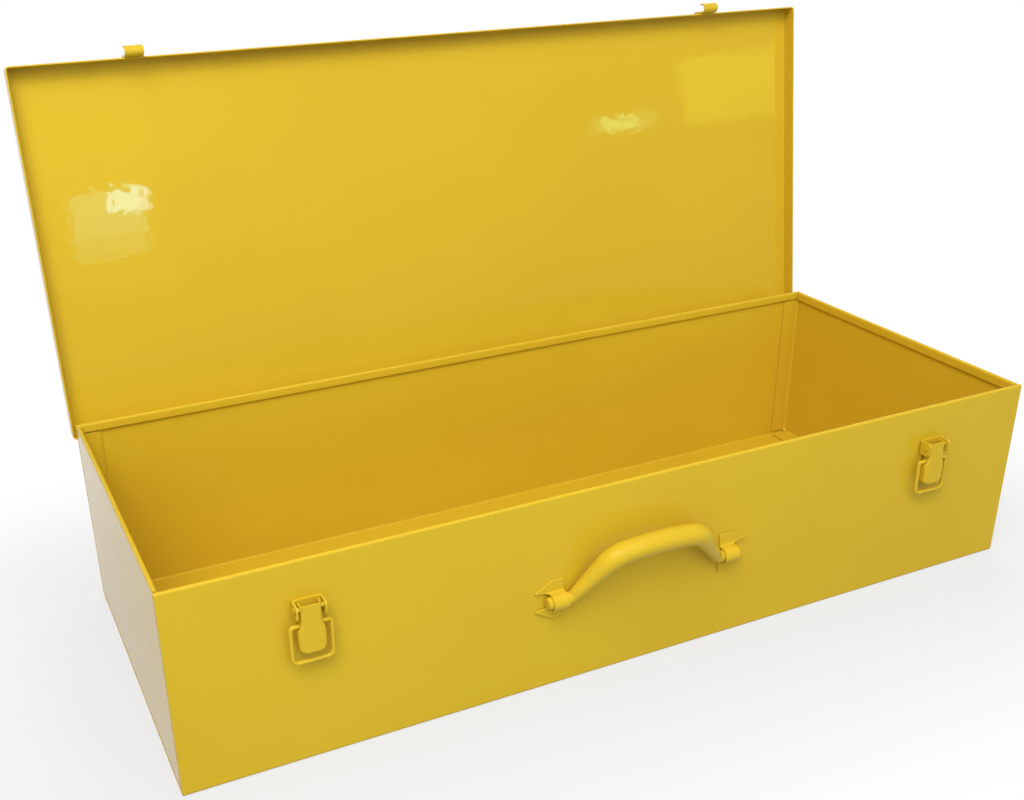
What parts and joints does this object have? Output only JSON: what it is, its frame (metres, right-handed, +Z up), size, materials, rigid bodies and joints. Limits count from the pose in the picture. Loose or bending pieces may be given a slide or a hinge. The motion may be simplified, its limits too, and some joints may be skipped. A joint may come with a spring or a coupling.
{
  "type": "tool box",
  "caption": "Long low sheet-metal tool box with a hinged lift-up lid, draw latches with wire bails and hooked keepers, and a swinging carry handle on the front.",
  "frame": {"origin": "middle of the tray's underside, where the box stands", "axes": "+X along the length, to the right seen from the front; -Y towards the front with the latches; +Z up"},
  "size_m": [0.604, 0.3136, 0.3631],
  "materials": {
    "yellow_enamel": "gloss enamel",
    "pin_steel": "plain steel"
  },
  "bodies": {
    "tray": {"tray_wrapper": "yellow_enamel", "left_end_panel": "yellow_enamel", "left_hinge_tray_leaf": "yellow_enamel", "left_hinge_pin": "pin_steel", "left_latch_base": "yellow_enamel", "left_lever_pin": "yellow_enamel", "left_handle_saddle": "yellow_enamel", "right_end_panel": "yellow_enamel", "right_hinge_tray_leaf": "yellow_enamel", "right_hinge_pin": "pin_steel", "right_latch_base": "yellow_enamel", "right_lever_pin": "yellow_enamel", "right_handle_saddle": "yellow_enamel"},
    "lid": {"lid_pan": "yellow_enamel", "left_hinge_lid_leaf": "yellow_enamel", "left_keeper": "yellow_enamel", "right_hinge_lid_leaf": "yellow_enamel", "right_keeper": "yellow_enamel"},
    "left_lever": {"left_latch_lever": "yellow_enamel"},
    "right_lever": {"right_latch_lever": "yellow_enamel"},
    "left_bail": {"left_latch_bail": "yellow_enamel"},
    "right_bail": {"right_latch_bail": "yellow_enamel"},
    "handle": {"handle_bow": "yellow_enamel"}
  },
  "joints": [
    {"name": "lid_hinge", "type": "hinge", "parent": "tray", "child": "lid", "pos_m": [0, 0.1218, 0.1166], "axis": [-1, 0, 0], "range_deg": [-98.3, 0]},
    {"name": "left_lever_hinge", "type": "hinge", "parent": "tray", "child": "left_lever", "pos_m": [-0.2207, -0.12488, 0.1049], "axis": [-1, 0, 0], "range_deg": [0, 135]},
    {"name": "left_bail_hinge", "type": "hinge", "parent": "left_lever", "child": "left_bail", "pos_m": [-0.2207, -0.12398, 0.0943], "axis": [1, 0, 0], "range_deg": [-179.46, 0]},
    {"name": "right_lever_hinge", "type": "hinge", "parent": "tray", "child": "right_lever", "pos_m": [0.2207, -0.12488, 0.1049], "axis": [-1, 0, 0], "range_deg": [0, 135]},
    {"name": "right_bail_hinge", "type": "hinge", "parent": "right_lever", "child": "right_bail", "pos_m": [0.2207, -0.12398, 0.0943], "axis": [1, 0, 0], "range_deg": [-179.46, 0]},
    {"name": "handle_hinge", "type": "hinge", "parent": "tray", "child": "handle", "pos_m": [-0.005, -0.1229, 0.0635], "axis": [1, 0, 0], "range_deg": [-12, 152]}
  ]
}
